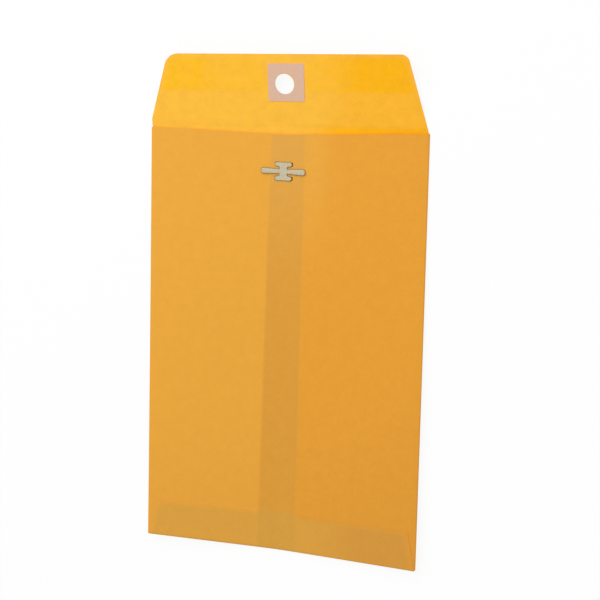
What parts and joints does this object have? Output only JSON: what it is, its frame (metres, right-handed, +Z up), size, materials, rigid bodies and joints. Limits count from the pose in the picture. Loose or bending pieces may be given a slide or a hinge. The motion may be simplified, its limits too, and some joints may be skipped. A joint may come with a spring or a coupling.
{
  "type": "clasp envelope",
  "caption": "Golden kraft paper envelope with a centre seam on the back, an open gummed flap with a patched hole, and a metal clasp whose prongs bend up through the hole to hold the flap shut.",
  "frame": {"origin": "middle of the address face, which lies on the ground", "axes": "+X to the right as seen from the clasp side, +Y towards the closure flap, +Z up out of the back with the clasp"},
  "size_m": [0.165, 0.2813, 0.0053],
  "materials": {
    "kraft_paper": "matt golden kraft paper",
    "patch_paper": "matt unbleached patch paper",
    "dried_glue": "dried glue film",
    "dried_gum": "glossy dried gum",
    "tinned_steel": "dull tin plate"
  },
  "bodies": {
    "pocket": {"front_panel": "kraft_paper", "left_side_fold": "kraft_paper", "right_side_fold": "kraft_paper", "bottom_fold": "kraft_paper", "left_back_panel": "kraft_paper", "right_back_panel": "kraft_paper", "bottom_flap": "kraft_paper", "seam_glue": "dried_glue", "bottom_flap_glue": "dried_glue", "clasp_base": "tinned_steel"},
    "flap": {"closure_flap": "kraft_paper", "hole_patch": "patch_paper", "left_gum": "dried_gum", "right_gum": "dried_gum"},
    "prong_left": {"left_prong": "tinned_steel"},
    "prong_right": {"right_prong": "tinned_steel"}
  },
  "joints": [
    {"name": "flap_crease", "type": "hinge", "parent": "pocket", "child": "flap", "pos_m": [0, 0.12065, 0.00115], "axis": [1, 0, 0], "range_deg": [-7.3, 172.7]},
    {"name": "left_prong_fold", "type": "hinge", "parent": "pocket", "child": "prong_left", "pos_m": [-0.00315, 0.09691, 0.00164], "axis": [0.0227, 0.9997, 0], "range_deg": [0, 90]},
    {"name": "right_prong_fold", "type": "hinge", "parent": "pocket", "child": "prong_right", "pos_m": [0.00195, 0.09679, 0.00164], "axis": [-0.0227, -0.9997, 0], "range_deg": [0, 90]}
  ]
}
